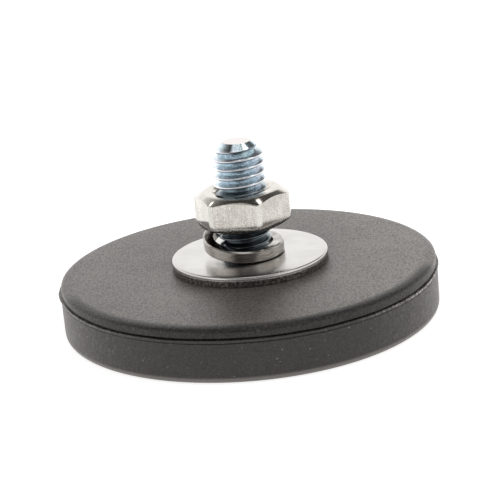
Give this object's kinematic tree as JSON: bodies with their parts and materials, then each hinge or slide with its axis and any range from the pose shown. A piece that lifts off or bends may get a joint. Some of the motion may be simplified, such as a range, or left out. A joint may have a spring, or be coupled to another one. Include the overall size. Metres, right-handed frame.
{
  "type": "rubber coated magnet",
  "caption": "Round rubber coated holding magnet with an upright threaded stud, wide flat washer, split spring washer and hex nut, for fixing things to steel without scratching.",
  "frame": {"origin": "centre of the magnet face, on the stud's axis", "axes": "+Z along the stud, away from the magnet face; +X to the right in the picture"},
  "size_m": [0.043, 0.043, 0.0203],
  "materials": {
    "rubber": "matt moulded rubber",
    "plate_steel": "plain mild steel",
    "magnet_nickel": "nickel plated",
    "stud_zinc": "blue zinc plated",
    "washer_steel": "bright zinc plated",
    "spring_steel": "satin zinc plated",
    "nut_steel": "bright nickel plated"
  },
  "bodies": {
    "root": {"rubber_coat": "rubber", "steel_plate": "plate_steel", "threaded_stud": "stud_zinc", "flat_washer": "washer_steel", "spring_washer": "spring_steel", "hex_nut": "nut_steel", "magnet_1": "magnet_nickel", "magnet_2": "magnet_nickel", "magnet_3": "magnet_nickel", "magnet_4": "magnet_nickel", "magnet_5": "magnet_nickel", "magnet_6": "magnet_nickel"}
  },
  "joints": []
}
